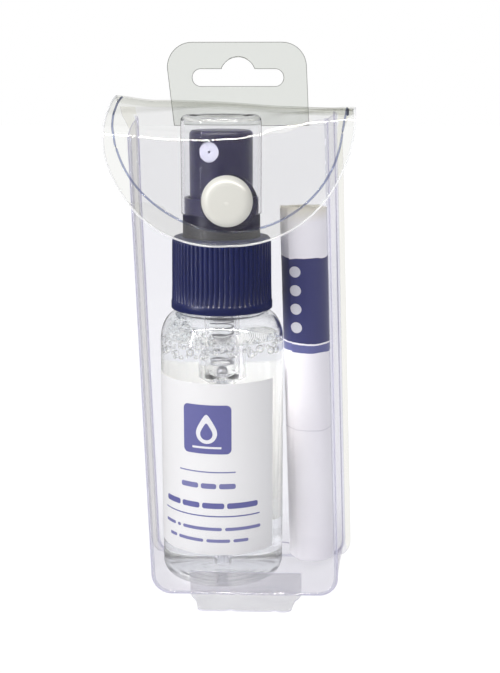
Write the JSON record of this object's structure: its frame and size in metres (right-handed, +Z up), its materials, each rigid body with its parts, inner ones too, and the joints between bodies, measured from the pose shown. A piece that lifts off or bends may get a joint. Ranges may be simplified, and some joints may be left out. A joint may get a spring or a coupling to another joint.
{
  "type": "lens cleaning spray kit",
  "caption": "Clear snap pouch with a hang tab, holding a small pump spray bottle with a ribbed collar and clear overcap, and a rolled microfibre cloth.",
  "frame": {"origin": "on the surface that the pouch stands on, under the middle of the front panel in X and under the bottle's axis in Y", "axes": "+Z up, front faces -Y, +X to the right as seen from the front"},
  "size_m": [0.0581, 0.0432, 0.131],
  "materials": {
    "clear_film": "clear soft vinyl film",
    "tab_film": "clear stiff film",
    "snap_clear": "clear moulded plastic",
    "snap_cream": "cream moulded plastic, smooth",
    "bottle_clear": "clear PET",
    "cleaning_liquid": "clear liquid",
    "label_white": "white coated paper wrap",
    "navy_plastic": "navy polypropylene, satin",
    "gasket_rubber": "soft white seal",
    "natural_plastic": "translucent natural plastic",
    "ball_steel": "polished",
    "spring_steel": "drawn wire",
    "nozzle_lilac": "pale moulded plastic",
    "overcap_clear": "clear moulded plastic",
    "microfibre": "fine knitted microfibre"
  },
  "bodies": {
    "pouch": {"front_panel": "clear_film", "side_gusset": "clear_film", "back_panel": "clear_film", "base_tongue": "clear_film", "hang_tab_foot": "tab_film", "snap_stud": "snap_clear", "snap_stud_rivet": "snap_cream", "bottle": "bottle_clear", "bottle_label": "label_white", "liquid": "cleaning_liquid", "cloth_roll": "microfibre"},
    "hang_tab": {"hang_tab": "tab_film"},
    "flap_top": {"flap_top": "clear_film", "flap_top_weld": "clear_film"},
    "flap_lobe": {"flap_lobe": "clear_film", "flap_lobe_weld": "clear_film", "snap_socket": "snap_clear", "snap_cap": "snap_cream"},
    "pump": {"neck_gasket": "gasket_rubber", "turret": "navy_plastic", "pump_housing": "natural_plastic", "dip_tube": "natural_plastic", "stem_seal": "gasket_rubber", "return_spring": "spring_steel", "overcap": "overcap_clear"},
    "collar": {"collar": "navy_plastic"},
    "inlet_ball": {"inlet_ball": "ball_steel"},
    "plunger": {"piston": "natural_plastic", "piston_stem": "natural_plastic"},
    "actuator": {"actuator": "navy_plastic", "nozzle_insert": "nozzle_lilac"}
  },
  "joints": [
    {"name": "tab_bend", "type": "hinge", "parent": "pouch", "child": "hang_tab", "pos_m": [0, 0.0105, 0.1173], "axis": [-1, 0, 0], "range_deg": [0, 70], "stiffness_Nm_per_rad": 0.0002},
    {"name": "flap_fold", "type": "hinge", "parent": "pouch", "child": "flap_top", "pos_m": [0, 0.00945, 0.1166], "axis": [-1, 0, 0], "range_deg": [0, 88]},
    {"name": "flap_unsnap", "type": "hinge", "parent": "flap_top", "child": "flap_lobe", "pos_m": [0, -0.01847, 0.1099], "axis": [-1, 0, 0], "range_deg": [0, 90]},
    {"name": "closure_rise", "type": "slide", "parent": "pouch", "child": "pump", "axis": [0, 0, 1], "range_m": [0, 0.0016]},
    {"name": "collar_turn", "type": "hinge", "parent": "pump", "child": "collar", "pos_m": [-0.0063, 0, 0.0765], "axis": [0, 0, 1], "range_deg": [0, 180.1]},
    {"name": "pump_press", "type": "slide", "parent": "pump", "child": "plunger", "axis": [0, 0, -1], "range_m": [0, 0.005], "stiffness_N_per_m": 300, "springref_m": -0.004, "deforming": ["return_spring"]},
    {"name": "actuator_swivel", "type": "hinge", "parent": "plunger", "child": "actuator", "pos_m": [-0.0063, 0, 0.1], "axis": [0, 0, 1], "continuous": true},
    {"name": "ball_lift", "type": "slide", "parent": "pump", "child": "inlet_ball", "axis": [0, 0, 1], "range_m": [0, 0.0008]}
  ],
  "couplings": [
    {"joint": "collar_turn", "follows": "closure_rise", "rad_per_m": 1963.5}
  ]
}
